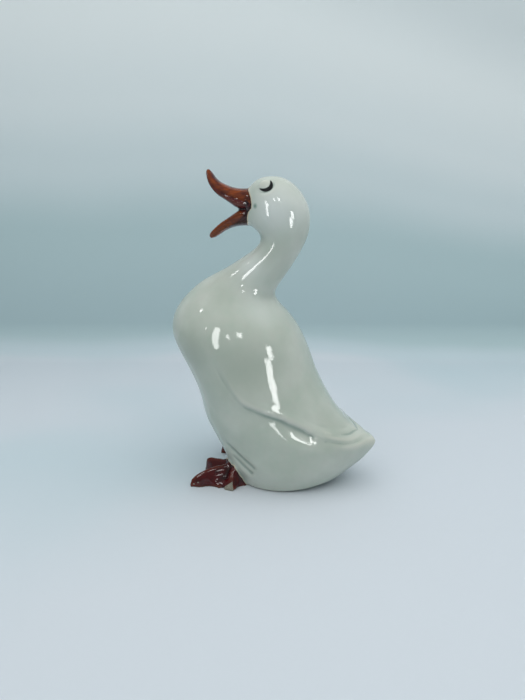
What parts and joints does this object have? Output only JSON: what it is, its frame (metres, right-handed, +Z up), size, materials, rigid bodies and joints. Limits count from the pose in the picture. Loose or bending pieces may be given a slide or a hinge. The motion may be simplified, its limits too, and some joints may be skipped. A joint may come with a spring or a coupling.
{
  "type": "duck figurine",
  "caption": "Hollow glazed earthenware duck, upright with its neck raised, beak wide open and eyes closed, on a flat base.",
  "frame": {"origin": "middle of the bounding box at floor level, under the base", "axes": "+Z up; -Y ahead, the way the duck faces; +X the duck's left"},
  "size_m": [0.1, 0.1636, 0.2366],
  "materials": {
    "glaze": "gloss"
  },
  "bodies": {
    "root": {"duck_figurine": "glaze"}
  },
  "joints": []
}
